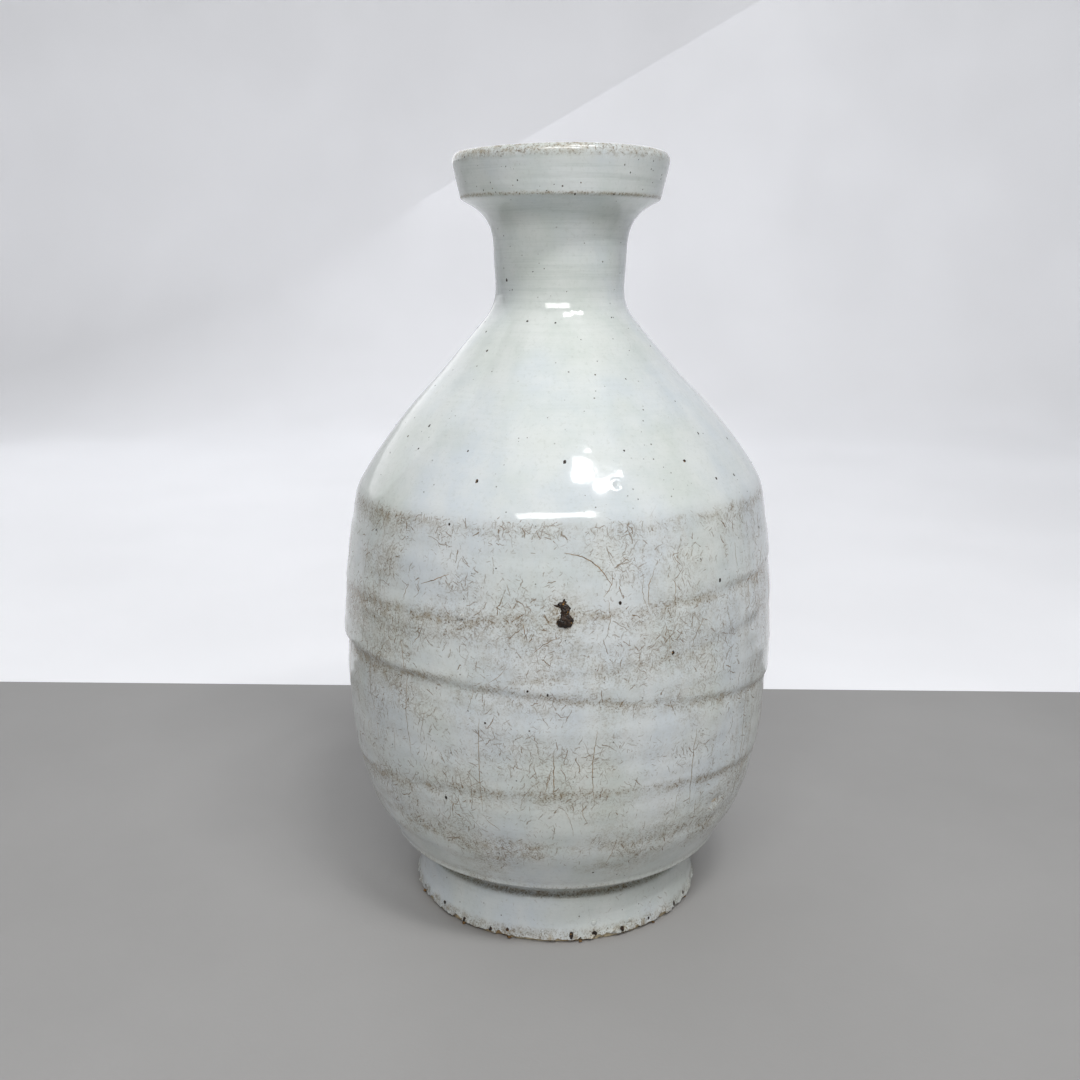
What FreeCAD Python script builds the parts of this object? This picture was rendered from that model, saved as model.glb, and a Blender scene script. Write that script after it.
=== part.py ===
import FreeCAD, Part
import math
import os
import random

import Sketcher

# A wheel-thrown, glazed white porcelain sake bottle, standing on its foot.
# Millimetres, +Z up. The origin is the centre of the foot's resting plane, and the
# front of the bottle, where the iron scar sits, faces -Y.
#
# The bottle is made the way a potter makes it: five thrown clay sections with notched
# rims, luted together with slip, then coated with glaze outside, inside and under the
# foot. Every section is a revolved outline. An outline is a chain of corners, and a
# "through" point between two corners bends that stretch into an arc.

DIMENSIONS = {
    # Coats and joints.
    "glaze": 0.6,
    "glaze_inside": 0.5,
    "slip": 0.6,
    "tongue_rise": 1.8,
    # Foot ring. Outside sizes are those of the glazed surface.
    "foot_radius": 48.2,
    "foot_edge_height": 1.5,
    "foot_rest_outer": 47.0,
    "foot_rest_inner": 43.6,
    "foot_inner_edge_radius": 42.6,
    "foot_inner_edge_height": 1.2,
    "foot_waist_radius": 47.0,
    "foot_waist_height": 6.5,
    "foot_top_radius": 46.6,
    "foot_top_height": 14.5,
    "groove_radius": 44.3,
    "foot_joint_height": 15.2,
    "recess_radius": 41.2,
    "recess_height": 9.0,
    "socket_radius": 38.6,
    # Lower body: undercut, edge, haunch, belly and shoulder ridge.
    "undercut_radius": 45.9,
    "undercut_height": 17.8,
    "edge_radius": 55.5,
    "edge_height": 24.6,
    "edge_lip": 1.3,
    "haunch_radius": 62.6,
    "haunch_height": 36.6,
    "flank_bend_radius": 65.3,
    "flank_bend_height": 45.2,
    "flank_radius": 67.5,
    "flank_height": 55.5,
    "belly_radius": 70.0,
    "belly_height": 90.0,
    "ridge_radius": 65.0,
    "ridge_height": 139.5,
    # Shoulder cone.
    "cone_bend_radius": 53.4,
    "cone_bend_height": 156.5,
    "cone_radius": 39.6,
    "cone_height": 172.0,
    "neck_base_radius": 25.2,
    "neck_base_height": 188.6,
    # Neck tube.
    "neck_bend_radius": 21.3,
    "neck_bend_height": 194.4,
    "neck_radius": 20.3,
    "neck_height": 201.0,
    "neck_top_radius": 21.2,
    "neck_top_height": 215.0,
    # Dish mouth.
    "flare_radius": 23.0,
    "flare_height": 220.2,
    "flare_top_radius": 26.4,
    "flare_top_height": 223.8,
    "ledge_radius": 30.9,
    "ledge_height": 226.3,
    "lip_radius": 33.5,
    "lip_height": 237.2,
    "lip_round_radius": 33.0,
    "lip_round_height": 239.2,
    "lip_crown_radius": 31.7,
    "lip_inner_round_radius": 30.6,
    "lip_inner_round_height": 239.4,
    "lip_inner_radius": 30.2,
    "lip_inner_height": 238.2,
    "height": 240.0,
    # Inside surfaces, as glazed.
    "dish_wall_radius": 29.0,
    "dish_wall_height": 233.5,
    "dish_bend_radius": 26.6,
    "dish_bend_height": 229.0,
    "dish_floor_radius": 22.0,
    "dish_floor_height": 225.0,
    "funnel_radius": 16.4,
    "funnel_height": 219.8,
    "throat_radius": 14.6,
    "throat_bottom": 198.0,
    "throat_bend_radius": 15.4,
    "throat_bend_height": 193.2,
    "throat_base_radius": 18.1,
    "cone_inner_radius": 32.5,
    "cone_bend_inner_radius": 46.7,
    "ridge_inner_radius": 58.8,
    "belly_inner_radius": 64.5,
    "flank_inner_radius": 62.0,
    "haunch_bend_inner_radius": 59.2,
    "haunch_bend_inner_height": 44.5,
    "haunch_inner_radius": 54.0,
    "haunch_inner_height": 34.0,
    "floor_bend_radius": 47.0,
    "floor_bend_height": 25.2,
    "floor_radius": 36.0,
    "floor_edge_height": 19.5,
    "floor_height": 17.5,
    # Iron scar on the front of the belly.
    "scar_width": 4.4,
    "scar_length": 8.8,
    "scar_depth": 1.8,
    "scar_height": 114.8,
    "scar_sink": 0.55,
    "scar_azimuth": 1.5,
    # Kiln grit fused to the foot's outer and inner chamfers.
    "grit_size": 1.1,
    "grit_count": 26,
    "grit_clearance": 0.15,
}

doc = FreeCAD.newDocument("sake_bottle")
sheet = doc.addObject("Spreadsheet::Sheet", "Dims")
for row, (alias, number) in enumerate(DIMENSIONS.items(), start=1):
    sheet.set(f"A{row}", alias)
    sheet.set(f"B{row}", str(number))
    sheet.setAlias(f"B{row}", alias)
doc.recompute()


class Size:
    """A length held as a number and as the spreadsheet expression that gives it."""

    def __init__(self, value, text):
        self.value = value
        self.text = text

    def __add__(self, other):
        return Size(self.value + other.value, f"({self.text} + {other.text})")

    def __sub__(self, other):
        return Size(self.value - other.value, f"({self.text} - {other.text})")

    def __mul__(self, factor):
        return Size(self.value * factor, f"({self.text} * {factor})")


def size(alias):
    """The named size from the spreadsheet."""
    return Size(DIMENSIONS[alias], f"Dims.{alias}")


ZERO = Size(0.0, "0")
GLAZE = size("glaze")
GLAZE_INSIDE = size("glaze_inside")
SLIP = size("slip")
HALF_SLIP = size("slip") * 0.5
CORNER, THROUGH = "corner", "through"


def corner(radius, height):
    return (CORNER, radius, height)


def through(radius, height):
    return (THROUGH, radius, height)


def backwards(chain):
    return list(reversed(chain))


# ---------------------------------------------------------------- outside surfaces
# Each chain runs upwards. The coat is taken off the glazed radius, so that a coat of
# GLAZE gives the clay surface and ZERO gives the glazed one.

def foot_outside(coat):
    return [
        corner(size("foot_radius") - coat, size("foot_edge_height")),
        corner(size("foot_waist_radius") - coat, size("foot_waist_height")),
        corner(size("foot_top_radius") - coat, size("foot_top_height")),
        corner(size("groove_radius") - coat, size("foot_joint_height")),
    ]


def bowl_outside(coat):
    return [
        corner(size("groove_radius") - coat, size("foot_joint_height") + SLIP),
        corner(size("undercut_radius") - coat, size("undercut_height")),
        corner(size("edge_radius") - coat, size("edge_height") - size("edge_lip")),
        corner(size("edge_radius") - coat, size("edge_height")),
        corner(size("haunch_radius") - coat, size("haunch_height")),
        through(size("flank_bend_radius") - coat, size("flank_bend_height")),
        corner(size("flank_radius") - coat, size("flank_height")),
        through(size("belly_radius") - coat, size("belly_height")),
        corner(size("ridge_radius") - coat, size("ridge_height") - HALF_SLIP),
    ]


def shoulder_outside(coat):
    return [
        corner(size("ridge_radius") - coat, size("ridge_height") + HALF_SLIP),
        through(size("cone_bend_radius") - coat, size("cone_bend_height")),
        corner(size("cone_radius") - coat, size("cone_height")),
        corner(size("neck_base_radius") - coat, size("neck_base_height") - HALF_SLIP),
    ]


def neck_outside(coat):
    return [
        corner(size("neck_base_radius") - coat, size("neck_base_height") + HALF_SLIP),
        through(size("neck_bend_radius") - coat, size("neck_bend_height")),
        corner(size("neck_radius") - coat, size("neck_height")),
        corner(size("neck_top_radius") - coat, size("neck_top_height") - HALF_SLIP),
    ]


def mouth_outside(coat, inner_coat):
    """Up from the neck joint, over the rounded lip and down to its inner edge."""
    crown = size("height") - coat
    inner_radius = size("lip_inner_radius") + inner_coat
    inner_round = size("lip_inner_round_radius") + inner_coat
    return [
        corner(size("neck_top_radius") - coat, size("neck_top_height") + HALF_SLIP),
        through(size("flare_radius") - coat, size("flare_height")),
        corner(size("flare_top_radius") - coat, size("flare_top_height")),
        corner(size("ledge_radius") - coat, size("ledge_height") + coat * 0.5),
        corner(size("lip_radius") - coat, size("lip_height")),
        through(size("lip_round_radius") - coat, size("lip_round_height") - coat * 0.5),
        corner(size("lip_crown_radius"), crown),
        through(inner_round, size("lip_inner_round_height") - coat * 0.5),
        corner(inner_radius, size("lip_inner_height")),
    ]


# ----------------------------------------------------------------- inside surfaces
# Each chain runs downwards. The coat is added to the glazed radius.

def dish_inside(coat):
    return [
        corner(size("lip_inner_radius") + coat, size("lip_inner_height")),
        corner(size("dish_wall_radius") + coat, size("dish_wall_height")),
        through(size("dish_bend_radius") + coat, size("dish_bend_height") - coat * 0.5),
        corner(size("dish_floor_radius") + coat * 0.5, size("dish_floor_height") - coat),
        through(size("funnel_radius") + coat, size("funnel_height") - coat * 0.5),
        corner(size("throat_radius") + coat, size("neck_top_height") + HALF_SLIP),
    ]


def throat_inside(coat):
    return [
        corner(size("throat_radius") + coat, size("neck_top_height") - HALF_SLIP),
        corner(size("throat_radius") + coat, size("throat_bottom")),
        through(size("throat_bend_radius") + coat, size("throat_bend_height")),
        corner(size("throat_base_radius") + coat, size("neck_base_height") + HALF_SLIP),
    ]


def shoulder_inside(coat):
    return [
        corner(size("throat_base_radius") + coat, size("neck_base_height") - HALF_SLIP),
        corner(size("cone_inner_radius") + coat, size("cone_height")),
        through(size("cone_bend_inner_radius") + coat, size("cone_bend_height")),
        corner(size("ridge_inner_radius") + coat, size("ridge_height") + HALF_SLIP),
    ]


def bowl_inside(coat):
    return [
        corner(size("ridge_inner_radius") + coat, size("ridge_height") - HALF_SLIP),
        through(size("belly_inner_radius") + coat, size("belly_height")),
        corner(size("flank_inner_radius") + coat, size("flank_height")),
        through(size("haunch_bend_inner_radius") + coat, size("haunch_bend_inner_height")),
        corner(size("haunch_inner_radius") + coat, size("haunch_inner_height")),
        through(size("floor_bend_radius") + coat, size("floor_bend_height") - coat),
        corner(size("floor_radius"), size("floor_edge_height") - coat),
        corner(ZERO, size("floor_height") - coat),
    ]


# ------------------------------------------------------------------ sketched bodies

def upright_plane(body):
    """The body's own XZ origin plane."""
    for feature in body.Origin.OriginFeatures:
        if feature.Role == "XZ_Plane":
            return feature
    raise RuntimeError("no XZ plane in " + body.Label)


def vector(point):
    return FreeCAD.Vector(point[1].value, point[2].value, 0)


def turns_left(start, middle, end):
    first = middle - start
    second = end - middle
    return first.x * second.y - first.y * second.x > 0


def pin(sketch, geometry, position, point):
    """Fix a sketch point at its radius and height, both bound to the spreadsheet."""
    for kind, axis, length in (("DistanceX", -2, point[1]), ("DistanceY", -1, point[2])):
        if length.value == 0.0:
            sketch.addConstraint(Sketcher.Constraint("PointOnObject", geometry, position, axis))
            continue
        index = sketch.addConstraint(
            Sketcher.Constraint(kind, -1, 1, geometry, position, length.value))
        sketch.setExpression(f"Constraints[{index}]", length.text)


def split_stretches(chain):
    """Yield (start, through point or None, end) round the closed chain."""
    corners = [index for index, point in enumerate(chain) if point[0] == CORNER]
    for here, there in zip(corners, corners[1:] + [len(chain)]):
        bend = chain[here + 1] if there - here == 2 else None
        yield chain[here], bend, chain[there % len(chain)]


def draw_outline(body, chain):
    """Sketch a closed chain on the body's upright plane."""
    sketch = body.newObject("Sketcher::SketchObject", body.Name + "_outline")
    sketch.AttachmentSupport = [(upright_plane(body), "")]
    sketch.MapMode = "FlatFace"
    ends = []
    for start, bend, end in split_stretches(chain):
        first, last = vector(start), vector(end)
        if bend is None:
            geometry = sketch.addGeometry(Part.LineSegment(first, last), False)
            ends.append((geometry, 1, 2))
        else:
            middle = vector(bend)
            left = turns_left(first, middle, last)
            arc = Part.Arc(first, middle, last) if left else Part.Arc(last, middle, first)
            geometry = sketch.addGeometry(arc, False)
            ends.append((geometry, 1, 2) if left else (geometry, 2, 1))
            mark = sketch.addGeometry(Part.Point(middle), True)
            sketch.addConstraint(Sketcher.Constraint("PointOnObject", mark, 1, geometry))
            pin(sketch, mark, 1, bend)
        pin(sketch, geometry, ends[-1][1], start)
    for (before, _, leaving), (after, entering, _) in zip(ends, ends[1:] + ends[:1]):
        sketch.addConstraint(Sketcher.Constraint("Coincident", before, leaving, after, entering))
    return sketch


def turned_piece(name, chain):
    """A piece turned on the wheel: one closed outline revolved about +Z."""
    body = doc.addObject("PartDesign::Body", name)
    body.Label = name
    sketch = draw_outline(body, chain)
    turn = body.newObject("PartDesign::Revolution", name + "_turn")
    turn.Profile = sketch
    turn.ReferenceAxis = (sketch, ["V_Axis"])
    turn.Angle = 360.0
    return body


# --------------------------------------------------------------- notched clay joints

def notched_rim(outer_radius, inner_radius, height):
    """A rim from outside to inside with a raised tongue along its middle."""
    middle = (outer_radius + inner_radius) * 0.5
    return [
        corner(outer_radius, height),
        corner(middle, height + size("tongue_rise")),
        corner(inner_radius, height),
    ]


def joint_faces(radius_name, inner_name, height_name):
    """The lower and the upper face of a luted joint, half a slip coat either side."""
    outer_radius = size(radius_name) - GLAZE
    inner_radius = size(inner_name) + GLAZE_INSIDE
    low = notched_rim(outer_radius, inner_radius, size(height_name) - HALF_SLIP)
    high = notched_rim(outer_radius, inner_radius, size(height_name) + HALF_SLIP)
    return low, high


RIDGE_JOINT = joint_faces("ridge_radius", "ridge_inner_radius", "ridge_height")
NECK_JOINT = joint_faces("neck_base_radius", "throat_base_radius", "neck_base_height")
MOUTH_JOINT = joint_faces("neck_top_radius", "throat_radius", "neck_top_height")


def tongue_of(joint_face):
    """Only the raised middle point of a notched rim."""
    return [joint_face[1]]


# ------------------------------------------------------------------- clay sections

def make_foot_ring():
    inner_wall = [
        corner(size("socket_radius"), size("foot_joint_height")),
        corner(size("socket_radius"), size("recess_height")),
        corner(size("recess_radius"), size("recess_height")),
        corner(size("foot_inner_edge_radius"), size("foot_inner_edge_height")),
    ]
    resting_face = [
        corner(size("foot_rest_inner"), ZERO),
        corner(size("foot_rest_outer"), ZERO),
    ]
    return turned_piece("foot_ring", foot_outside(GLAZE) + inner_wall + resting_face)


def make_lower_body():
    spigot_radius = size("socket_radius") - SLIP
    spigot = [
        corner(ZERO, size("recess_height")),
        corner(spigot_radius, size("recess_height")),
        corner(spigot_radius, size("foot_joint_height") + SLIP),
    ]
    chain = spigot + bowl_outside(GLAZE) + tongue_of(RIDGE_JOINT[0]) + bowl_inside(GLAZE_INSIDE)
    return turned_piece("lower_body", chain)


def make_shoulder_cone():
    chain = (shoulder_outside(GLAZE) + tongue_of(NECK_JOINT[0])
             + shoulder_inside(GLAZE_INSIDE) + tongue_of(RIDGE_JOINT[1]))
    return turned_piece("shoulder_cone", chain)


def make_neck_tube():
    chain = (neck_outside(GLAZE) + tongue_of(MOUTH_JOINT[0])
             + throat_inside(GLAZE_INSIDE) + tongue_of(NECK_JOINT[1]))
    return turned_piece("neck_tube", chain)


def make_dish_mouth():
    chain = (mouth_outside(GLAZE, GLAZE_INSIDE) + dish_inside(GLAZE_INSIDE)[1:]
             + tongue_of(MOUTH_JOINT[1]))
    return turned_piece("dish_mouth", chain)


# ------------------------------------------------------------------- luting slip

def make_foot_slip():
    """The slip under the bowl and round its spigot, in the foot ring's socket."""
    spigot_radius = size("socket_radius") - SLIP
    groove = size("groove_radius") - GLAZE
    chain = [
        corner(spigot_radius, size("recess_height")),
        corner(size("socket_radius"), size("recess_height")),
        corner(size("socket_radius"), size("foot_joint_height")),
        corner(groove, size("foot_joint_height")),
        corner(groove, size("foot_joint_height") + SLIP),
        corner(spigot_radius, size("foot_joint_height") + SLIP),
    ]
    return turned_piece("foot_slip", chain)


def make_slip(name, joint):
    """The coat of slip between the two faces of a notched joint."""
    low, high = joint
    return turned_piece(name, low + backwards(high))


# ------------------------------------------------------------------- glaze coats

def make_outer_glaze():
    clay_side = (foot_outside(GLAZE) + bowl_outside(GLAZE) + shoulder_outside(GLAZE)
                 + neck_outside(GLAZE) + mouth_outside(GLAZE, GLAZE_INSIDE))
    air_side = (foot_outside(ZERO) + bowl_outside(ZERO) + shoulder_outside(ZERO)
                + neck_outside(ZERO) + mouth_outside(ZERO, ZERO))
    return turned_piece("outer_glaze", clay_side + backwards(air_side))


def make_inner_glaze():
    clay_side = (dish_inside(GLAZE_INSIDE) + throat_inside(GLAZE_INSIDE)
                 + shoulder_inside(GLAZE_INSIDE) + bowl_inside(GLAZE_INSIDE))
    air_side = (dish_inside(ZERO) + throat_inside(ZERO)
                + shoulder_inside(ZERO) + bowl_inside(ZERO))
    return turned_piece("inner_glaze", clay_side + backwards(air_side))


def make_base_glaze():
    """The thin coat inside the foot ring, under the floor."""
    rise = size("recess_height") - size("foot_inner_edge_height")
    slope_run = size("foot_inner_edge_radius") - size("recess_radius")
    low_height = size("foot_inner_edge_height") + rise * 0.25
    low_radius = size("foot_inner_edge_radius") - slope_run * 0.25
    chain = [
        corner(ZERO, size("recess_height")),
        corner(size("recess_radius"), size("recess_height")),
        corner(low_radius, low_height),
        corner(low_radius - GLAZE_INSIDE, low_height),
        corner(size("recess_radius") - GLAZE_INSIDE, size("recess_height") - GLAZE_INSIDE),
        corner(ZERO, size("recess_height") - GLAZE_INSIDE),
    ]
    return turned_piece("base_glaze", chain)


# -------------------------------------------------------------- scar and kiln grit

def make_iron_scar(outer_glaze):
    """A crusty iron lump that burst through the glaze on the front of the belly."""
    lump = doc.addObject("Part::Ellipsoid", "scar_lump")
    lump.setExpression("Radius1", "Dims.scar_length / 2")
    lump.setExpression("Radius2", "Dims.scar_width / 2")
    lump.setExpression("Radius3", "Dims.scar_depth / 2")
    lump.Angle1, lump.Angle2, lump.Angle3 = -90, 90, 360
    azimuth = DIMENSIONS["scar_azimuth"]
    drop = DIMENSIONS["scar_height"] - DIMENSIONS["belly_height"]
    sagitta = (DIMENSIONS["belly_radius"] - DIMENSIONS["ridge_radius"])
    rise = DIMENSIONS["ridge_height"] - DIMENSIONS["belly_height"]
    surface = DIMENSIONS["belly_radius"] - sagitta * (drop / rise) ** 2
    reach = surface - DIMENSIONS["scar_sink"] + DIMENSIONS["scar_depth"] / 2
    turn = math.radians(azimuth)
    place = FreeCAD.Vector(reach * math.sin(turn), -reach * math.cos(turn),
                           DIMENSIONS["scar_height"])
    spin = FreeCAD.Rotation(FreeCAD.Vector(0, 0, 1), azimuth)
    lump.Placement = FreeCAD.Placement(place, spin)
    scar = doc.addObject("Part::Cut", "iron_scar")
    scar.Base = lump
    scar.Tool = outer_glaze
    scar.Label = "iron_scar"
    return scar


def make_kiln_grit():
    """Grains of kiln sand, half of each on the foot's outer and inner chamfers."""
    draw = random.Random(7)
    grains = []
    count = int(DIMENSIONS["grit_count"])
    outer = (DIMENSIONS["foot_rest_outer"] + DIMENSIONS["foot_radius"]) / 2
    inner = DIMENSIONS["foot_inner_edge_radius"]
    for index in range(count):
        radius = DIMENSIONS["grit_size"] * draw.uniform(0.35, 0.5)
        turn = 2 * math.pi * (index + draw.uniform(-0.35, 0.35)) / count
        reach = outer + radius * 0.4 if index % 2 else inner - radius * 0.4
        height = DIMENSIONS["grit_clearance"] + radius
        centre = FreeCAD.Vector(reach * math.sin(turn), -reach * math.cos(turn), height)
        grains.append(Part.makeSphere(radius, centre))
    grit = doc.addObject("Part::Feature", "kiln_grit")
    grit.Shape = Part.makeCompound(grains)
    grit.Label = "kiln_grit"
    return grit


def make_bottle():
    outer_glaze = make_outer_glaze()
    return [
        make_foot_ring(),
        make_lower_body(),
        make_shoulder_cone(),
        make_neck_tube(),
        make_dish_mouth(),
        make_foot_slip(),
        make_slip("shoulder_slip", RIDGE_JOINT),
        make_slip("neck_slip", NECK_JOINT),
        make_slip("mouth_slip", MOUTH_JOINT),
        outer_glaze,
        make_inner_glaze(),
        make_base_glaze(),
        make_iron_scar(outer_glaze),
        make_kiln_grit(),
    ]


def check_document(pieces):
    for item in doc.Objects:
        if "Invalid" in item.State or "Error" in item.State:
            raise RuntimeError(f"{item.Label} failed: {item.State}")
    for piece in pieces:
        if piece.Shape.isNull() or not piece.Shape.isValid():
            raise RuntimeError(f"{piece.Label} has no valid shape")


def write_pieces(pieces):
    os.makedirs("parts", exist_ok=True)
    for piece in pieces:
        piece.Shape.exportStep(os.path.join("parts", piece.Label + ".step"))
        box = piece.Shape.optimalBoundingBox(False)
        print(f"{piece.Label:14s} volume {piece.Shape.Volume:10.1f}"
              f"  z {box.ZMin:7.2f} to {box.ZMax:7.2f}  across {box.XLength:7.2f}")


bottle = make_bottle()
doc.recompute()
check_document(bottle)
write_pieces(bottle)
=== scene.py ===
import math
import random

import bmesh
import bpy
import numpy as np
from mathutils import Matrix, Vector, noise
from mathutils.bvhtree import BVHTree


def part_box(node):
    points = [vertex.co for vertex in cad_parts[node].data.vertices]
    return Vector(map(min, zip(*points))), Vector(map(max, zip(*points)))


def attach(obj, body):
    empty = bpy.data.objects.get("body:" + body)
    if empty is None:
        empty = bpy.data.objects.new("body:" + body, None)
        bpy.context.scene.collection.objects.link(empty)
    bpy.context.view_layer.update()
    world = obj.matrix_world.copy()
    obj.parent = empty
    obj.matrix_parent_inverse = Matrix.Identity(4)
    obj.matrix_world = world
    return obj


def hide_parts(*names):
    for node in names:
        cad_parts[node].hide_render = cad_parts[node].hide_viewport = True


# The looks of a wheel-thrown, glazed white porcelain sake bottle. Sizes are in
# millimetres until a mesh is made, and azimuths in degrees: 0 is the front of the
# bottle, which faces -Y, and +90 is its right side, +X.

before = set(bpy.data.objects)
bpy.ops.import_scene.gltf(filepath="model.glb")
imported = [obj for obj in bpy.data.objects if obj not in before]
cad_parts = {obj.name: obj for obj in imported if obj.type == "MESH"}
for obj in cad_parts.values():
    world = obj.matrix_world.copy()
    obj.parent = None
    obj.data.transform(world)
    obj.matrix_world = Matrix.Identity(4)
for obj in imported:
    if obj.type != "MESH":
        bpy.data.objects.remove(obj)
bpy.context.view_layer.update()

MM = 0.001


def cad_span(node):
    """The lowest and the highest point of a CAD node, in millimetres."""
    low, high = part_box(node)
    return low.z / MM, high.z / MM


# ---- driving sizes

GLAZE = 0.6
LINING = 0.5
SLIP = 0.6
FOOT_EDGE, TOP = cad_span("outer_glaze")
RIDGE = cad_span("shoulder_slip")[0] + SLIP / 2
NECK_ROOT = cad_span("neck_slip")[0] + SLIP / 2
NECK_TOP = cad_span("mouth_slip")[0] + SLIP / 2
LINING_TOP = cad_span("inner_glaze")[1]
RECESS_LOW, RECESS_TOP = cad_span("base_glaze")

# Heights on the outside at which its outline turns, from the foot up to the lip, and
# the radius of the lip's crown.
FOOT_TOP = 14.5
GROOVE = 15.5
NECK_BAND = 17.8
EDGE_LOW = 23.3
EDGE_TOP = 24.6
HAUNCH = 36.6
FLARE = 224
LEDGE = 226.3
LIP = 237.2
LIP_CROWN_RADIUS = 31.7

# Heights on the inside at which the dish and the bowl round into their floors.
DISH_FLOOR = 225
BOWL_FLOOR = 29

# Heights at which the outer glaze is parted into pieces, each just below a corner.
FOOT_SEAM = 22.3
RIDGE_SEAM = RIDGE - 3.2
LEDGE_SEAM = 225.6

# How far the ridge climbs for each millimetre to the right.
RIDGE_LEAN = 0.023

# Throwing rings: mean height, then how far each swings towards the front and the
# right, the step's depth and the strength of the stain caught under it.
RINGS = (
    {"mean": 113.2, "front": 0.0, "right": 3.6, "depth": 0.35, "stain": 0.75},
    {"mean": 97.5, "front": -1.0, "right": 8.0, "depth": 0.3, "stain": 0.35},
    {"mean": 84.0, "front": 6.0, "right": -6.0, "depth": 0.95, "stain": 1.0},
    {"mean": 50.0, "front": 10.5, "right": 1.5, "depth": 0.3, "stain": 0.9},
    {"mean": 41.3, "front": 0.6, "right": -0.6, "depth": 0.25, "stain": 0.45},
)


# ---- CAD outlines

def points_of(piece):
    """The points of an object's mesh as an array, in millimetres."""
    place = np.zeros(len(piece.data.vertices) * 3)
    piece.data.vertices.foreach_get("co", place)
    return place.reshape(-1, 3) / MM


def cad_edges(node):
    """The edges of a turned CAD node, as radius and height at both ends."""
    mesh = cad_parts[node].data
    place = points_of(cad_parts[node])
    ends = np.zeros(len(mesh.edges) * 2, dtype=int)
    mesh.edges.foreach_get("vertices", ends)
    flat = np.column_stack([np.hypot(place[:, 0], place[:, 1]), place[:, 2]])
    return flat[ends.reshape(-1, 2)]


OUTER_EDGES = cad_edges("outer_glaze")
LINING_EDGES = cad_edges("inner_glaze")


def cad_radii(edges, height):
    """The radii at which an outline's edges cross a height."""
    low = edges[:, :, 1].min(axis=1)
    high = edges[:, :, 1].max(axis=1)
    crossing = edges[(low <= height + 1e-3) & (high >= height - 1e-3) & (high - low > 0.02)]
    share = (height - crossing[:, 0, 1]) / (crossing[:, 1, 1] - crossing[:, 0, 1])
    share = np.clip(share, 0, 1)
    return crossing[:, 0, 0] + share * (crossing[:, 1, 0] - crossing[:, 0, 0])


def outside_at(height):
    return (cad_radii(OUTER_EDGES, height).max(), height)


def inside_at(height):
    return (cad_radii(LINING_EDGES, height).min(), height)


# ---- outline drawing

def curve_through(points, step=0.25):
    """A smooth curve through the points: a natural cubic spline over chord length."""
    points = np.array(points, float)
    spans = np.linalg.norm(np.diff(points, axis=0), axis=1)
    knots = np.concatenate([[0], np.cumsum(spans)])
    system = np.eye(len(points))
    right = np.zeros_like(points)
    for i in range(1, len(points) - 1):
        system[i, i - 1:i + 2] = spans[i - 1], 2 * (spans[i - 1] + spans[i]), spans[i]
        right[i] = 6 * ((points[i + 1] - points[i]) / spans[i]
                        - (points[i] - points[i - 1]) / spans[i - 1])
    bend = np.linalg.solve(system, right)
    where = np.linspace(0, knots[-1], max(3, int(knots[-1] / step)))
    index = np.clip(np.searchsorted(knots, where, side="right") - 1, 0, len(points) - 2)
    span = spans[index][:, None]
    back = (knots[index + 1] - where)[:, None] / span
    ahead = 1 - back
    return (back * points[index] + ahead * points[index + 1]
            + ((back ** 3 - back) * bend[index] + (ahead ** 3 - ahead) * bend[index + 1])
            * span ** 2 / 6)


def distances(path):
    return np.concatenate([[0], np.cumsum(np.linalg.norm(np.diff(path, axis=0), axis=1))])


def run_together(stretches, reaches):
    """Joins stretches end to end, each corner rounded off over its own reach."""
    path = stretches[0]
    share = np.linspace(0, 1, 9)[1:-1, None]
    for following, reach in zip(stretches[1:], reaches):
        corner = path[-1]
        gone = distances(path)
        before = path[gone < gone[-1] - reach]
        after = following[distances(following) > reach]
        bend = ((1 - share) ** 2 * before[-1] + 2 * share * (1 - share) * corner
                + share ** 2 * after[0])
        path = np.vstack([before, bend, after])
    return path


def follow(surface_at, *heights):
    """The outside or the inside of the CAD, smooth through its radii at some heights."""
    return curve_through([surface_at(height) for height in heights])


def outside_path():
    """The glazed outside, from the foot's edge up and over the lip to its inner edge."""
    foot = follow(outside_at, FOOT_EDGE, 6.5, FOOT_TOP)
    groove = follow(outside_at, FOOT_TOP, GROOVE)
    band = follow(outside_at, GROOVE, NECK_BAND)
    eave = follow(outside_at, NECK_BAND, EDGE_LOW)
    rim = follow(outside_at, EDGE_LOW, EDGE_TOP)
    belly = follow(outside_at, EDGE_TOP, 29, 33, HAUNCH, 41, 48, 55.5, 66, 78, 90, 103, 116, 128,
                   RIDGE)
    shoulder = follow(outside_at, RIDGE, 147, 156.5, 165, 172, 180, NECK_ROOT, 192, 196, 201, 208,
                      NECK_TOP, 219, 222, FLARE)
    flare = follow(outside_at, FLARE, LEDGE)
    dish = follow(outside_at, LEDGE, LIP)
    lip = curve_through([outside_at(LIP), outside_at(TOP - 0.9), (LIP_CROWN_RADIUS, TOP),
                         (LIP_CROWN_RADIUS - 1.15, TOP - 0.65), inside_at(LINING_TOP)])
    return run_together([foot, groove, band, eave, rim, belly, shoulder, flare, dish, lip],
                        [0.8, 0.6, 1.0, 0.9, 1.0, 2.6, 1.4, 0.5, 0.8])


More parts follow.
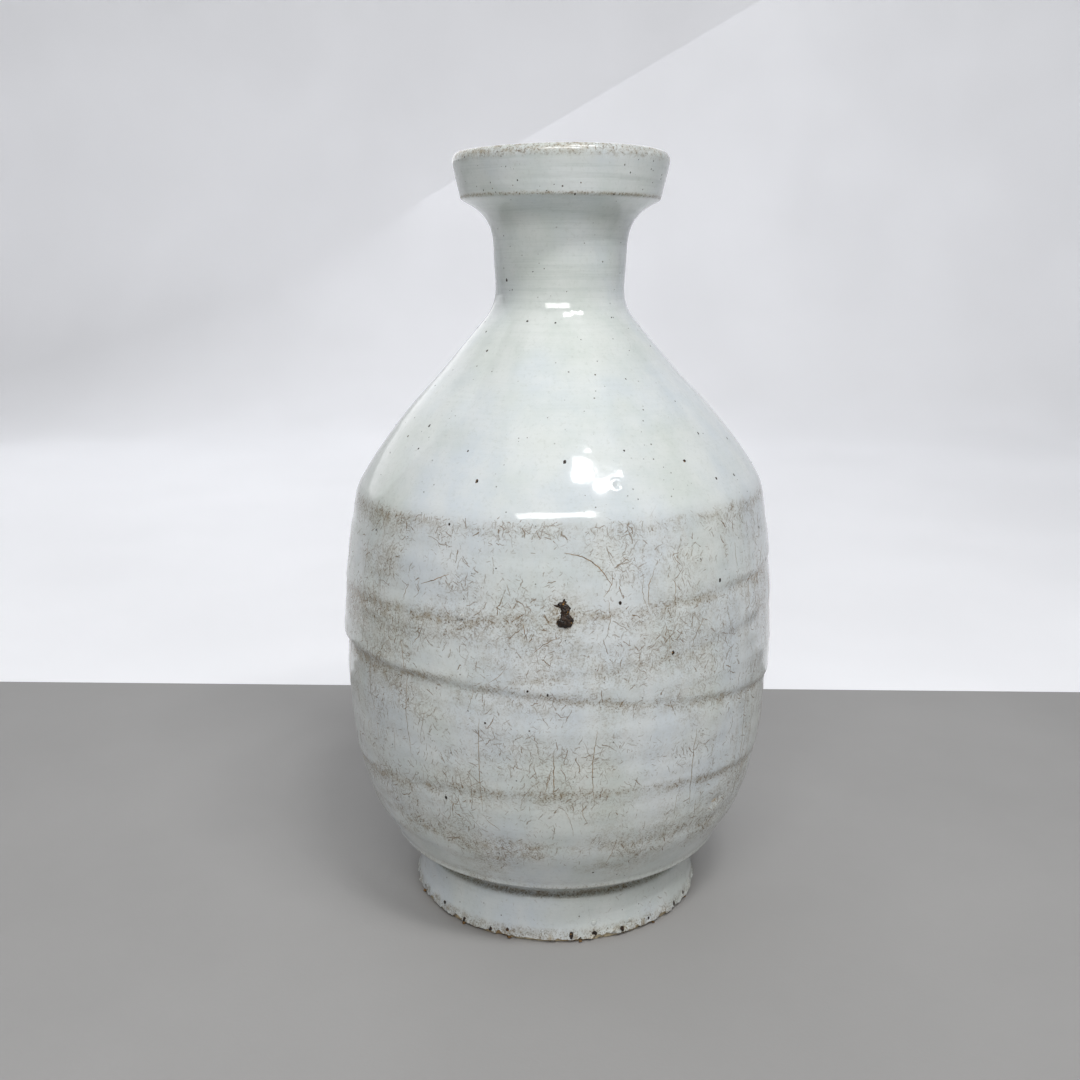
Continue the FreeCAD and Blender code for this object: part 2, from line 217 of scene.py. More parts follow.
def lining_path():
    """The glazed inside, from the lip's inner edge down to the middle of the floor."""
    dish = follow(inside_at, LINING_TOP, 236, 233.5, 231, 229, 227, DISH_FLOOR)
    funnel = follow(inside_at, DISH_FLOOR, 222, 219.8, 217.5, NECK_TOP)
    throat = follow(inside_at, NECK_TOP, 206, 198, 193, NECK_ROOT)
    cone = follow(inside_at, NECK_ROOT, 180, 172, 165, 156.5, 148, RIDGE)
    bowl = follow(inside_at, RIDGE, 120, 105, 90, 72, 55.5, 45, 36, BOWL_FLOOR)
    floor = curve_through([inside_at(BOWL_FLOOR), inside_at(24), (36, 19.5), (18, 18.2),
                           (0, 17.5)])
    return run_together([dish, funnel, throat, cone, bowl, floor], [1.6, 1.0, 2.0, 2.5, 1.5])


def spread_rows(path, step, turn=math.radians(9)):
    """Rows no further apart than a step, and closer together where the path turns."""
    leg = np.diff(path, axis=0)
    heading = np.unwrap(np.arctan2(leg[:, 1], leg[:, 0]))
    turning = np.abs(np.diff(heading, prepend=heading[0]))
    cost = np.concatenate([[0], np.cumsum(np.linalg.norm(leg, axis=1) / step + turning / turn)])
    where = np.linspace(0, cost[-1], int(cost[-1]) + 2)
    return np.column_stack([np.interp(where, cost, path[:, axis]) for axis in (0, 1)])


def outward(path, spread=0):
    """The unit normals of a path, to its right-hand side, evened out over some rows."""
    along = np.gradient(path, axis=0)
    normal = np.column_stack([along[:, 1], -along[:, 0]])
    for _ in range(spread):
        padded = np.vstack([normal[:1], normal, normal[-1:]])
        normal = (padded[:-2] + 2 * padded[1:-1] + padded[2:]) / 4
    return normal / np.linalg.norm(normal, axis=1)[:, None]


# ---- the hand-thrown shape

def bump(distance, width):
    return np.exp(-(distance / width) ** 2)


def fade(value, low, high):
    share = np.clip((value - low) / (high - low), 0, 1)
    return share * share * (3 - 2 * share)


def ring_height(ring, azimuth):
    return ring["mean"] + ring["front"] * np.cos(azimuth) + ring["right"] * np.sin(azimuth)


def thrown_relief(azimuth, height):
    """How far the thrown wall stands out from, or in behind, the true turned one."""
    relief = np.zeros(np.broadcast(azimuth, height).shape)
    for number, ring in enumerate(RINGS):
        above = height - ring_height(ring, azimuth)
        depth = ring["depth"] * (0.3 + 0.45 * np.sin(azimuth) ** 2)
        depth *= 1 + 0.3 * np.sin(azimuth * 2 + number * 1.7)
        overhang = 0.55 * fade(above, -0.6, 1.6) * np.exp(-np.abs(above) / 9)
        hollow = -(1 - fade(above, -1.0, 1.0)) * np.exp(-np.abs(above + 1) / 7)
        relief += depth * (overhang + hollow)
    relief += (0.08 * np.sin(height * 0.42 + 0.6 * np.sin(azimuth))
               + 0.05 * np.sin(height * 0.95 + azimuth + 1.3))
    wall = fade(height, 26, 40) * (1 - fade(height, 131, 139))
    neck_lines = 0.015 * np.sin(height * 1.9 + azimuth) + 0.012 * np.sin(height * 3.1 - azimuth)
    neck = fade(height, 186, 200) * (1 - fade(height, 236, 239))
    lopsided = 0.25 * np.cos(2 * azimuth + 0.8) * fade(height, 20, 60)
    return relief * wall + neck_lines * neck + lopsided


OUTSIDE = outside_path()


def in_thrown_shape(points):
    """Points of the true turned shape, moved to where the thrown one has them."""
    azimuth = np.arctan2(points[:, 0], -points[:, 1])
    radius = np.hypot(points[:, 0], points[:, 1])
    height = points[:, 2]
    below_lip = OUTSIDE[:OUTSIDE[:, 1].argmax()]
    depth = np.interp(height, below_lip[:, 1], below_lip[:, 0]) - radius
    near = np.clip(1 - depth / 4, 0, 1)
    pushed = radius + thrown_relief(azimuth, height) * near
    leaning = fade(height, 85, RIDGE) * (1 - fade(height, RIDGE, 190))
    mouth = 0.3 * np.sin(2 * azimuth + 0.5) * fade(height, 216, 238)
    moved = np.column_stack([pushed * np.sin(azimuth), -pushed * np.cos(azimuth), height])
    moved[:, 2] += RIDGE_LEAN * moved[:, 0] * leaning + mouth
    return moved


# ---- mesh making

def cloud(points, grain, seed, octaves=2):
    """Smooth noise over points, from about -1 to 1, with details of a grain's size."""
    shift = Vector((seed * 17.3, seed * 5.1, seed * 9.7))
    values = [sum(noise.noise(Vector(p) * (2 ** k / grain) + shift) / 2 ** k
                  for k in range(octaves)) for p in points]
    return np.array(values)


def welded(mesh):
    """Merges points that coincide, as on the axis, and drops what is left loose."""
    work = bmesh.new()
    work.from_mesh(mesh)
    bmesh.ops.remove_doubles(work, verts=work.verts, dist=1e-6)
    loose = [edge for edge in work.edges if not edge.link_faces]
    bmesh.ops.delete(work, geom=loose, context="EDGES")
    work.to_mesh(mesh)
    work.free()


def finish_mesh(name, vertices, faces, material, replaced=(), sharp=50):
    """A smooth mesh piece in metres, which rides on the bottle's one body."""
    mesh = bpy.data.meshes.new(name)
    mesh.from_pydata((np.asarray(vertices) * MM).tolist(), [], faces)
    welded(mesh)
    mesh.shade_smooth()
    mesh.set_sharp_from_angle(angle=math.radians(sharp))
    mesh.materials.append(material)
    piece = bpy.data.objects.new(name, mesh)
    bpy.context.scene.collection.objects.link(piece)
    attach(piece, "root")
    if replaced:
        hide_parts(*replaced)
    return piece


def set_masks(piece, **masks):
    """Gives a piece its stain and craze masks, which the glaze reads at each point; the stain mask
    also holds some painted shade.
    """
    for name, values in masks.items():
        mask = piece.data.attributes.new(name, "FLOAT", "POINT")
        mask.data.foreach_set("value", np.asarray(values, dtype=np.float32))


def turn_rows(rows, segments):
    """Rows of (radius, height) turned round the axis: an array row by segment by xyz."""
    azimuth = np.linspace(-math.pi, math.pi, segments, endpoint=False)
    x = rows[:, 0:1] * np.sin(azimuth)
    y = -rows[:, 0:1] * np.cos(azimuth)
    z = np.repeat(rows[:, 1:2], segments, axis=1)
    return np.stack([x, y, z], axis=2)


def loop_faces(rows, segments):
    """Quads over a grid that is closed both round the axis and from last row to first."""
    low = np.arange(rows * segments).reshape(rows, segments)
    right = np.roll(low, -1, axis=1)
    quads = np.stack([low, right, np.roll(right, -1, axis=0), np.roll(low, -1, axis=0)], axis=2)
    return quads.reshape(-1, 4).tolist()


def turned_shell(path, coat, step, segments, skin):
    """A closed shell of glaze, as points and faces.

    Its air side is the path itself, with the skin's relief, and its clay side lies a coat
    deeper and is coarser. A path that starts or ends on the axis closes there.
    """
    air = spread_rows(path, step)
    clay = spread_rows(path, step * 5, math.radians(22))
    on_axis = clay[:, 0] == 0
    clay = clay - outward(clay, 2) * coat
    clay[on_axis, 0] = 0
    clay = clay[::-1]
    points = turn_rows(air, segments).reshape(-1, 3)
    normals = turn_rows(outward(air), segments).reshape(-1, 3)
    points = points + normals * skin(points)[:, None]
    both = np.vstack([points, turn_rows(clay, segments).reshape(-1, 3)])
    return in_thrown_shape(both), loop_faces(len(air) + len(clay), segments)


def stretch(path, low, high):
    """The stretch of the outside path between two seams."""
    rising = slice(0, path[:, 1].argmax() + 1)
    heights = path[rising, 1]
    first = 0 if low is None else int(np.searchsorted(heights, low))
    last = len(path) if high is None else int(np.searchsorted(heights, high)) + 1
    return path[first:last]


# ---- shader building

def tone(red, green, blue):
    """A linear colour from the usual 0 to 255 display values."""
    linear = [c / 12.92 if c <= 0.04045 else ((c + 0.055) / 1.055) ** 2.4
              for c in (red / 255, green / 255, blue / 255)]
    return (*linear, 1.0)


class Paint:
    """One procedural material on a Principled shader, and short names for its nodes."""

    def __init__(self, name, **surface):
        self.material = bpy.data.materials.new(name)
        self.material.use_nodes = True
        self.nodes = self.material.node_tree.nodes
        self.links = self.material.node_tree.links
        self.surface = next(n for n in self.nodes if n.type == "BSDF_PRINCIPLED")
        for socket, value in surface.items():
            self.surface.inputs[socket.replace("_", " ")].default_value = value
        place = self.node("ShaderNodeTexCoord").outputs["Object"]
        self.place = self.vector("SCALE", place, scale=1 / MM)

    def node(self, kind, **settings):
        made = self.nodes.new(kind)
        for setting, value in settings.items():
            setattr(made, setting, value)
        return made

    def plug(self, socket, value):
        if isinstance(value, bpy.types.NodeSocket):
            self.links.new(value, socket)
        else:
            socket.default_value = value

    def math(self, operation, *values, clamp=False):
        made = self.node("ShaderNodeMath", operation=operation, use_clamp=clamp)
        for socket, value in zip(made.inputs, values):
            self.plug(socket, value)
        return made.outputs[0]

    def times(self, *values):
        product = values[0]
        for value in values[1:]:
            product = self.math("MULTIPLY", product, value)
        return product

    def vector(self, operation, first, second=None, scale=None):
        made = self.node("ShaderNodeVectorMath", operation=operation)
        self.plug(made.inputs[0], first)
        if second is not None:
            self.plug(made.inputs[1], second)
        if scale is not None:
            self.plug(made.inputs["Scale"], scale)
        return made.outputs["Value"] if operation == "DOT_PRODUCT" else made.outputs["Vector"]

    def ramp(self, value, low, high, to_low=0.0, to_high=1.0):
        made = self.node("ShaderNodeMapRange", interpolation_type="SMOOTHSTEP")
        for socket, setting in zip(made.inputs, (value, low, high, to_low, to_high)):
            self.plug(socket, setting)
        return made.outputs[0]

    def noise(self, grain, detail=2.0, rough=0.5, stretch=(1, 1, 1), colour=False):
        """Noise from 0 to 1 with features of a grain's size in millimetres."""
        made = self.node("ShaderNodeTexNoise", noise_dimensions="3D")
        where = self.vector("MULTIPLY", self.place, stretch)
        self.plug(made.inputs["Vector"], where)
        made.inputs["Scale"].default_value = 1 / grain
        made.inputs["Detail"].default_value = detail
        made.inputs["Roughness"].default_value = rough
        return made.outputs["Color" if colour else "Fac"]

    def cells(self, where, size, feature="F1"):
        made = self.node("ShaderNodeTexVoronoi", voronoi_dimensions="3D", feature=feature)
        self.plug(made.inputs["Vector"], where)
        made.inputs["Scale"].default_value = 1 / size
        return made

    def parts(self, kind, whole):
        """The three parts of a colour or of a vector."""
        made = self.node("ShaderNodeSeparate" + kind)
        self.plug(made.inputs[0], whole)
        return made.outputs

    def mask(self, name):
        return self.node("ShaderNodeAttribute", attribute_name=name).outputs["Fac"]

    def blend(self, factor, under, over):
        made = self.node("ShaderNodeMix", data_type="RGBA", clamp_factor=True)
        colours = [s for s in made.inputs if s.type == "RGBA"]
        self.plug(made.inputs[0], factor)
        self.plug(colours[0], under)
        self.plug(colours[1], over)
        return next(s for s in made.outputs if s.type == "RGBA")

    def bump(self, height, depth):
        """Raises the surface by a height from 0 to 1 times a depth in millimetres."""
        made = self.node("ShaderNodeBump")
        made.inputs["Strength"].default_value = 1.0
        made.inputs["Distance"].default_value = depth * MM
        self.plug(made.inputs["Height"], height)
        if self.surface.inputs["Normal"].is_linked:
            self.plug(made.inputs["Normal"], self.surface.inputs["Normal"].links[0].from_socket)
        self.plug(self.surface.inputs["Normal"], made.outputs[0])

    def finish(self, colour, roughness=None):
        self.plug(self.surface.inputs["Base Color"], colour)
        if roughness is not None:
            self.plug(self.surface.inputs["Roughness"], roughness)
        return self.material


def wall_directions(paint):
    """The directions round the wall and up the wall at the shaded point."""
    right, back, _ = paint.parts("XYZ", paint.place)
    joined = paint.node("ShaderNodeCombineXYZ")
    paint.plug(joined.inputs[0], paint.math("MULTIPLY", back, -1.0))
    paint.plug(joined.inputs[1], right)
    round_wall = paint.vector("NORMALIZE", joined.outputs[0])
    facing = paint.node("ShaderNodeNewGeometry").outputs["Normal"]
    up_wall = paint.vector("CROSS_PRODUCT", facing, round_wall)
    return round_wall, up_wall


def hair_marks(paint, directions, shift, cell, length, width, spread, density):
    """Short dark strokes, one at most to a cell, within a spread of angles of upright."""
    warp = paint.vector("SUBTRACT", paint.noise(cell * 0.9, detail=3, colour=True), (0.5, 0.5, 0.5))
    where = paint.vector("ADD", paint.place, paint.vector("SCALE", warp, scale=cell * 0.7))
    where = paint.vector("ADD", where, (shift, shift * 0.7, shift * 1.9))
    cells = paint.cells(where, cell)
    away = paint.vector("SUBTRACT", where, cells.outputs["Position"])
    sideways = paint.vector("DOT_PRODUCT", away, directions[0])
    upwards = paint.vector("DOT_PRODUCT", away, directions[1])
    turned, large, rare = paint.parts("Color", cells.outputs["Color"])
    angle = paint.times(paint.math("SUBTRACT", turned, 0.5), spread)
    cosine = paint.math("COSINE", angle)
    sine = paint.math("SINE", angle)
    along = paint.math("ADD", paint.times(sideways, sine), paint.times(upwards, cosine))
    across = paint.math("SUBTRACT", paint.times(sideways, cosine), paint.times(upwards, sine))
    reach = paint.math("MULTIPLY_ADD", large, length * 0.3, length * 0.2)
    short = paint.math("SUBTRACT", 1.0, paint.ramp(
        paint.math("DIVIDE", paint.math("ABSOLUTE", along), reach), 0.5, 1.0))
    thin = paint.math("SUBTRACT", 1.0, paint.ramp(
        paint.math("ABSOLUTE", across), width * 0.2, width * 0.8))
    shown = paint.ramp(paint.math("SUBTRACT", density, rare), 0.0, 0.2)
    faint = paint.math("MULTIPLY_ADD", large, 0.7, 0.3)
    return paint.times(short, thin, shown, faint)


# ---- materials

# Layers of hair marks, fine to coarse: a shift that sets the layer apart, its cell,
# length and width in millimetres, spread of angles, share of cells, and strength.
HAIR_LAYERS = (
    (3.1, 1.3, 1.6, 0.19, math.pi, 1.2, 0.5),
    (11.9, 1.8, 2.6, 0.21, math.pi, 1.1, 0.7),
    (23.7, 2.5, 4.4, 0.23, math.pi * 0.85, 1.1, 0.9),
    (37.3, 3.8, 7.0, 0.24, math.pi * 0.7, 0.85, 0.95),
    (81.3, 5.2, 8.5, 0.24, math.pi * 0.9, 0.6, 0.9),
    (51.7, 7.5, 12.0, 0.26, math.pi * 0.4, 0.4, 0.85))


def make_glaze(name, crazed):
    """Glossy bluish-white glaze. The stain and craze masks say where it has aged; the stain mask
    also paints shade into the undercut above the foot.
    """
    paint = Paint(name, Roughness=0.1, IOR=1.5, Specular_IOR_Level=0.5)
    stain = paint.mask("stain")
    craze = paint.mask("craze")

    # The body: cool and greenish clouds, milky drifts, and wheel lines on the neck.
    broad = paint.ramp(paint.noise(38, detail=3), 0.35, 0.65)
    drift = paint.ramp(paint.noise(9, detail=4, rough=0.6, stretch=(1, 1, 0.55)), 0.3, 0.7)
    fine = paint.noise(1.1, detail=4, rough=0.7)
    cool = tone(217, 225, 230)
    green = tone(214, 221, 216)
    milk = tone(234, 237, 235)
    body = paint.blend(broad, cool, green)
    body = paint.blend(paint.times(drift, 0.5), body, milk)
    level = paint.parts("XYZ", paint.place)[2]
    neck = paint.ramp(level, NECK_ROOT - 8, NECK_ROOT + 14, 0.08, 0.26)
    wheel_lines = paint.noise(4.0, detail=4, rough=0.7, stretch=(0.12, 0.12, 3.0))
    body = paint.blend(paint.times(paint.ramp(wheel_lines, 0.42, 0.72), neck), body,
                       tone(172, 184, 178))
    body = paint.blend(paint.ramp(fine, 0.5, 0.8, 0.0, 0.28), body, tone(168, 174, 164))

    # Brown haze, and darker grit in it, where the stain mask asks for them; in the undercut above
    # the foot they are painted shade.
    haze_grain = paint.ramp(paint.noise(2.2, detail=5, rough=0.75), 0.36, 0.66)
    haze_and_shade = paint.times(stain, paint.math("MULTIPLY_ADD", haze_grain, 0.8, 0.2))
    grit = paint.ramp(paint.noise(0.55, detail=3, rough=0.75), 0.5, 0.66)
    aged_and_shaded = paint.blend(paint.math("MULTIPLY", haze_and_shade, 0.78, clamp=True), body, tone(142, 120, 76))
    grit_and_shade = paint.times(grit, paint.ramp(stain, 0.04, 0.7, 0.0, 0.7))
    aged_and_shaded = paint.blend(grit_and_shade, aged_and_shaded, tone(92, 72, 38))

    # Hair marks in their layers, and a torn net of crazing.
    shade = aged_and_shaded
    marks = None
    if crazed:
        directions = wall_directions(paint)
        patchy = paint.ramp(paint.noise(11, detail=4, rough=0.65), 0.38, 0.62, 0.18, 1.1)
        density = paint.times(craze, patchy)
        for shift, cell, length, width, spread, share, strength in HAIR_LAYERS:
            stroke = hair_marks(paint, directions, shift, cell, length, width, spread,
                                paint.times(density, share))
            stroke = paint.times(stroke, strength)
            marks = stroke if marks is None else paint.math("MAXIMUM", marks, stroke)
        warp = paint.vector("SCALE", paint.noise(2.5, detail=2, colour=True), scale=1.6)
        net = paint.cells(paint.vector("ADD", paint.place, warp), 2.6, "DISTANCE_TO_EDGE")
        web = paint.math("SUBTRACT", 1.0, paint.ramp(net.outputs["Distance"], 0.01, 0.05))
        torn = paint.ramp(paint.noise(1.7, detail=2), 0.5, 0.62)
        web = paint.times(web, torn, paint.ramp(density, 0.15, 0.9, 0.0, 0.6))
        marks = paint.math("MAXIMUM", marks, web)
        shade = paint.blend(paint.math("MULTIPLY", marks, 0.95, clamp=True), aged_and_shaded,
                            tone(112, 84, 42))

    # Pepper dots, one at most to a cell.
    dots = paint.cells(paint.place, 2.7)
    rare, large, _ = paint.parts("Color", dots.outputs["Color"])
    few = paint.ramp(rare, 0.4, 0.75)
    dot_size = paint.math("MULTIPLY_ADD", large, 0.09, 0.04)
    dot = paint.math("SUBTRACT", 1.0, paint.ramp(
        paint.math("DIVIDE", dots.outputs["Distance"], dot_size), 0.55, 1.0))
    shade = paint.blend(paint.times(dot, few, 0.75), shade, tone(74, 66, 52))

    # Ripples, orange peel and sunken marks, and a duller gloss where there is haze.
    ripple = paint.noise(7.0, detail=2, rough=0.4)
    paint.bump(ripple, 0.09)
    peel = paint.noise(1.6, detail=3, rough=0.55)
    paint.bump(peel, 0.018)
    if marks is not None:
        paint.bump(marks, -0.012)
    rough = paint.math("MULTIPLY_ADD", haze_and_shade, 0.22, 0.07)
    rough = paint.math("MULTIPLY_ADD", fine, 0.06, rough)
    return paint.finish(shade, rough)


def make_clay(name, pale, dark):
    """Bare fired clay: matte, sandy and toasted in patches."""
    paint = Paint(name, Roughness=0.8)
    toasted = paint.ramp(paint.noise(6, detail=4, rough=0.65), 0.38, 0.66)
    sand = paint.noise(0.7, detail=4, rough=0.7)
    colour = paint.blend(toasted, pale, dark)
    colour = paint.blend(paint.ramp(sand, 0.55, 0.75, 0.0, 0.6), colour, tone(70, 52, 34))
    paint.bump(sand, 0.12)
    return paint.finish(colour, paint.ramp(sand, 0.3, 0.7, 0.65, 0.95))


def make_iron():
    """Crusted iron: near black, with golden-brown glints of its glassy facets painted into its
    colour.
    """
    paint = Paint("iron_crust", Roughness=0.4)
    crust = paint.noise(1.0, detail=5, rough=0.7)
    facets = paint.cells(paint.place, 0.9)
    colour = paint.blend(paint.ramp(crust, 0.4, 0.7), tone(22, 15, 10), tone(64, 42, 22))
    # Painted highlight: golden glints at the middles of the facets.
    glint = paint.ramp(facets.outputs["Distance"], 0.15, 0.4, 1.0, 0.0)
    spread = paint.times(glint, paint.ramp(paint.noise(1.6), 0.5, 0.62))
    colour = paint.blend(spread, colour, tone(168, 124, 62))
    paint.bump(crust, 0.25)
    return paint.finish(colour, paint.ramp(crust, 0.3, 0.7, 0.2, 0.65))


def make_crack_stain():
    """Brown matter that has settled in a crack of the glaze."""
    paint = Paint("crack_stain", Roughness=0.5)
    uneven = paint.ramp(paint.noise(2.4, detail=4, rough=0.7), 0.32, 0.68)
    colour = paint.blend(uneven, tone(92, 72, 44), tone(160, 134, 98))
    paint.bump(paint.noise(0.4, detail=3), 0.02)
    return paint.finish(colour)


def make_sand():
    paint = Paint("kiln_sand", Roughness=0.75)
    grain = paint.noise(1.3, detail=4, rough=0.7)
    colour = paint.blend(paint.ramp(grain, 0.35, 0.65), tone(52, 38, 26), tone(140, 108, 66))
    paint.bump(paint.noise(0.3, detail=3), 0.1)
    return paint.finish(colour, paint.ramp(grain, 0.3, 0.7, 0.5, 0.9))


def make_matt(name, colour, grain, glow=0.0):
    """A plain painted surface for the floor and the backdrop, which may glow evenly."""
    paint = Paint(name, Roughness=0.9, Specular_IOR_Level=0.2, Emission_Strength=glow)
    uneven = paint.ramp(paint.noise(grain, detail=5, rough=0.6), 0.3, 0.7)
    deeper = tuple(channel * 0.93 for channel in colour[:3]) + (1.0,)
    paint.bump(paint.noise(1.2, detail=3), 0.05)
    return paint.finish(paint.blend(uneven, deeper, colour))


CRAZED_GLAZE = make_glaze("crazed_white_glaze", crazed=True)
CLEAN_GLAZE = make_glaze("clean_white_glaze", crazed=False)
BARE_CLAY = make_clay("bare_foot_clay", tone(206, 192, 160), tone(160, 128, 84))
HIDDEN_CLAY = make_clay("white_clay", tone(214, 206, 190), tone(196, 184, 162))
IRON = make_iron()
CRACK_STAIN = make_crack_stain()
SAND = make_sand()


# ---- stains and crazing

def polar(points):
    """Azimuth in radians and height of points given as x, y, z."""
    return np.arctan2(points[:, 0], -points[:, 1]), points[:, 2]


def turn_from(azimuth, centre):
    """The turn in radians, the short way round, from a centre given in degrees."""
    return np.angle(np.exp(1j * (azimuth - math.radians(centre))))


def near_azimuth(azimuth, centre, width):
    """One near an azimuth given in degrees, falling to none over a width."""
    return bump(turn_from(azimuth, centre), math.radians(width))


# Patches of haze on the belly: strength, height, tallness, azimuth and width.
HAZE_PATCHES = ((0.22, 126, 12, -58, 22), (0.42, 108, 9, -55, 25), (0.13, 104, 9, 10, 40))


def stain_and_shade_masks(points):
    """The brown haze, with painted shade in the undercut above the foot, and the crowding of craze
    marks at points of the true shape.
    """
    azimuth, height = polar(points)
    ridge = RIDGE + RIDGE_LEAN * points[:, 0]
    streaky = points * (1, 1, 2.2)
    patches = fade(cloud(streaky, 26, 1, 3), -0.35, 0.45)
    broken = fade(cloud(streaky, 7, 2, 3), -0.4, 0.5)
    belly = fade(height, 26, 40) * (1 - fade(height - ridge, -2.5, 1.0))
    # Wear round the bottle: most at the front left, some at the right and the back.
    worn = (0.35 + 0.65 * near_azimuth(azimuth, -52, 30) + 0.35 * near_azimuth(azimuth, 62, 32)
            + 0.4 * near_azimuth(azimuth, 170, 60))

    # A thin haze on the belly, then bands under each throwing ring and under the ridge.
    stain = (0.05 + 0.17 * patches) * belly
    for ring in RINGS:
        below = ring_height(ring, azimuth) - height
        band = bump(below - 0.5, 1.5) + 0.35 * bump(below - 2.5, 4.5)
        stain += ring["stain"] * band * belly * (0.25 + 0.75 * broken) * (0.4 + 0.6 * worn)
    stain += 0.55 * bump(height - ridge + 3.0, 2.0) * (0.2 + 0.8 * broken) * worn
    # Patches on the belly, and a belt near its lower end.
    for strength, level, tall, centre, width in HAZE_PATCHES:
        stain += (strength * bump(height - level, tall) * patches
                  * near_azimuth(azimuth, centre, width))
    stain += 0.5 * bump(height - 34, 9) * patches * (0.5 + 0.5 * broken)
    # Painted shade: a darker undercut above the foot, and dark lines in its groove and under its
    # eave.
    stain += 0.3 * (1 - fade(height, 23, 28)) * fade(height, 14.2, 15.4) * (0.5 + 0.5 * broken)
    stain += 0.8 * bump(height - GROOVE, 0.8) + 0.6 * bump(height - EDGE_LOW + 2.6, 1.7)
    # Rusty patches along the foot's lowest edge.
    rust = fade(cloud(points * (1, 1, 0.6), 3.2, 63, 3), -0.35, 0.35)
    stain += (1 - fade(height, 2.8, 5.6)) * (0.5 + 0.5 * rust) * (
        0.65 + 0.35 * near_azimuth(azimuth, 0, 50))
    # A line along the ledge, and speckles over the lip.
    stain += 0.9 * bump(height - LEDGE - 0.35, 0.45)
    speckled = fade(cloud(points, 1.1, 61, 3), -0.4, 0.35)
    stain += fade(height, TOP - 4.4, TOP - 1.6) * (0.45 + 0.55 * speckled) * (
        0.6 + 0.4 * near_azimuth(azimuth, -45, 60))
    # Upright streaks on the right of the belly, and a halo round the scar.
    streaks = fade(cloud(points * (1, 1, 0.1), 2.6, 62), 0.0, 0.5)
    stain += 0.22 * streaks * near_azimuth(azimuth, 60, 28) * belly
    from_scar = np.hypot(points[:, 0] - SCAR.x, (height - SCAR.z) * 0.75)
    stain += 0.5 * bump(from_scar, 4.2) * (points[:, 1] < 0)

    # Craze marks crowd on the belly and just under the ridge, and are few elsewhere.
    craze = belly * (0.34 + 0.3 * patches + 0.4 * stain) * (0.7 + 0.4 * worn)
    craze += 0.85 * bump(height - ridge + 3.5, 3.0) * (0.3 + 0.7 * worn) * broken
    craze += 0.03 + 0.02 * near_azimuth(azimuth, 60, 50) * fade(height, RIDGE, RIDGE + 3)
    craze += 0.12 * (1 - fade(height, 24, 30))
    return np.clip(stain, 0, 1), np.clip(craze, 0, 1)


# ---- glaze on the wall

SCAR = (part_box("iron_scar")[0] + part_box("iron_scar")[1]) / 2 / MM
SCAR_AZIMUTH = math.degrees(math.atan2(SCAR.x, -SCAR.y))
BLISTER = (SCAR_AZIMUTH - 24, SCAR.z - 4)
PINHOLE = (SCAR_AZIMUTH + 14, RIDGE + 8)

# Dents pressed into the wall: azimuth, height, width, tallness and depth.
DENTS = ((48, 47, 3.4, 1.9, 0.75), (-85, 60, 5.0, 3.0, 0.4), (150, 95, 4.5, 3.5, 0.5))
# Pits where a bubble broke: azimuth, height, radius and depth.
PITS = ((*PINHOLE, 0.9, 0.35), (*BLISTER, 0.8, 0.4), (120, 120, 0.9, 0.3), (-150, 85, 0.8, 0.3))


def wall_skin(points):
    """The fine relief of the glazed outside, in millimetres outwards."""
    azimuth, height = polar(points)
    radius = np.hypot(points[:, 0], points[:, 1])
    skin = 0.06 * cloud(points, 17, 3) + 0.025 * cloud(points * (1, 1, 1.6), 5, 4)
    for centre, level, width, tall, depth in DENTS:
        across = turn_from(azimuth, centre) * radius / width
        up = (height - level) / tall
        skin -= depth * np.exp(-across ** 2 - up ** 2)
        skin += depth * 0.4 * np.exp(-across ** 2 - (up + 1.5) ** 2)
    for centre, level, size, depth in PITS:
        away = np.hypot(turn_from(azimuth, centre) * radius, height - level) / size
        skin += depth * (0.6 * bump(away - 1.3, 0.45) - 1.3 * bump(away, 0.8))
    return skin


def foot_skin(points):
    """The wall's relief, and the ragged, chipped edge where the glaze ends."""
    azimuth, height = polar(points)
    low = 1 - fade(height, FOOT_EDGE, 5.0)
    ragged = 0.5 * cloud(points, 2.6, 11, 3) - 0.35 * fade(cloud(points, 6, 12), 0.1, 0.5)
    return wall_skin(points) + low * ragged


def chipped(points):
    """Points of the foot's glaze, its lowest edge lifted here and there by chips."""
    ring = points * (1, 1, 0)
    nicks = 1.3 * fade(cloud(ring, 3.4, 21, 3), 0.05, 0.55) + 0.35 * cloud(ring, 1.8, 22, 2)
    low = 1 - fade(points[:, 2], FOOT_EDGE - 1, 6.0)
    lifted = points.copy()
    lifted[:, 2] += low * (nicks - 0.1)
    return lifted


def make_wall_piece(name, low, high, step, segments, skin=wall_skin):
    """One closed shell of the outside glaze, between two seams, with its masks."""
    path = stretch(OUTSIDE, low, high)
    points, faces = turned_shell(path, GLAZE, step, segments, skin)
    if low is None:
        points = chipped(points)
    piece = finish_mesh(name, points, faces, CRAZED_GLAZE, ["outer_glaze"])
    stain, craze = stain_and_shade_masks(points_of(piece))
    set_masks(piece, stain=stain, craze=craze)
    return piece


def lining_skin(points):
    """The faint wheel lines of the glazed inside, in millimetres."""
    azimuth, height = polar(points)
    lines = 0.08 * np.sin(height * 1.7 + azimuth) + 0.05 * np.sin(height * 2.9 - azimuth * 2)
    return lines + 0.05 * cloud(points, 9, 31)


def make_linings():
    """The glaze inside: the dish and throat down to the neck joint, then the bottle."""
    path = lining_path()
    seam = int(np.argmax(path[:, 1] < NECK_ROOT + 4))
    for name, part, step, segments in (("dish_and_throat_glaze", path[:seam + 1], 1.0, 256),
                                       ("inside_glaze", path[seam:], 2.6, 192)):
        points, faces = turned_shell(part, LINING, step, segments, lining_skin)
        piece = finish_mesh(name, points, faces, CLEAN_GLAZE, ["inner_glaze"])
        points = points_of(piece)
        height = points[:, 2]
        pool = 0.4 * bump(height - 224.5, 2.5) + 0.5 * fade(height, TOP - 5, TOP - 1.5)
        pool = np.clip(pool * (0.6 + 0.6 * cloud(points, 8, 32)), 0, 1)
        set_masks(piece, stain=pool, craze=0.1 + 0 * height)


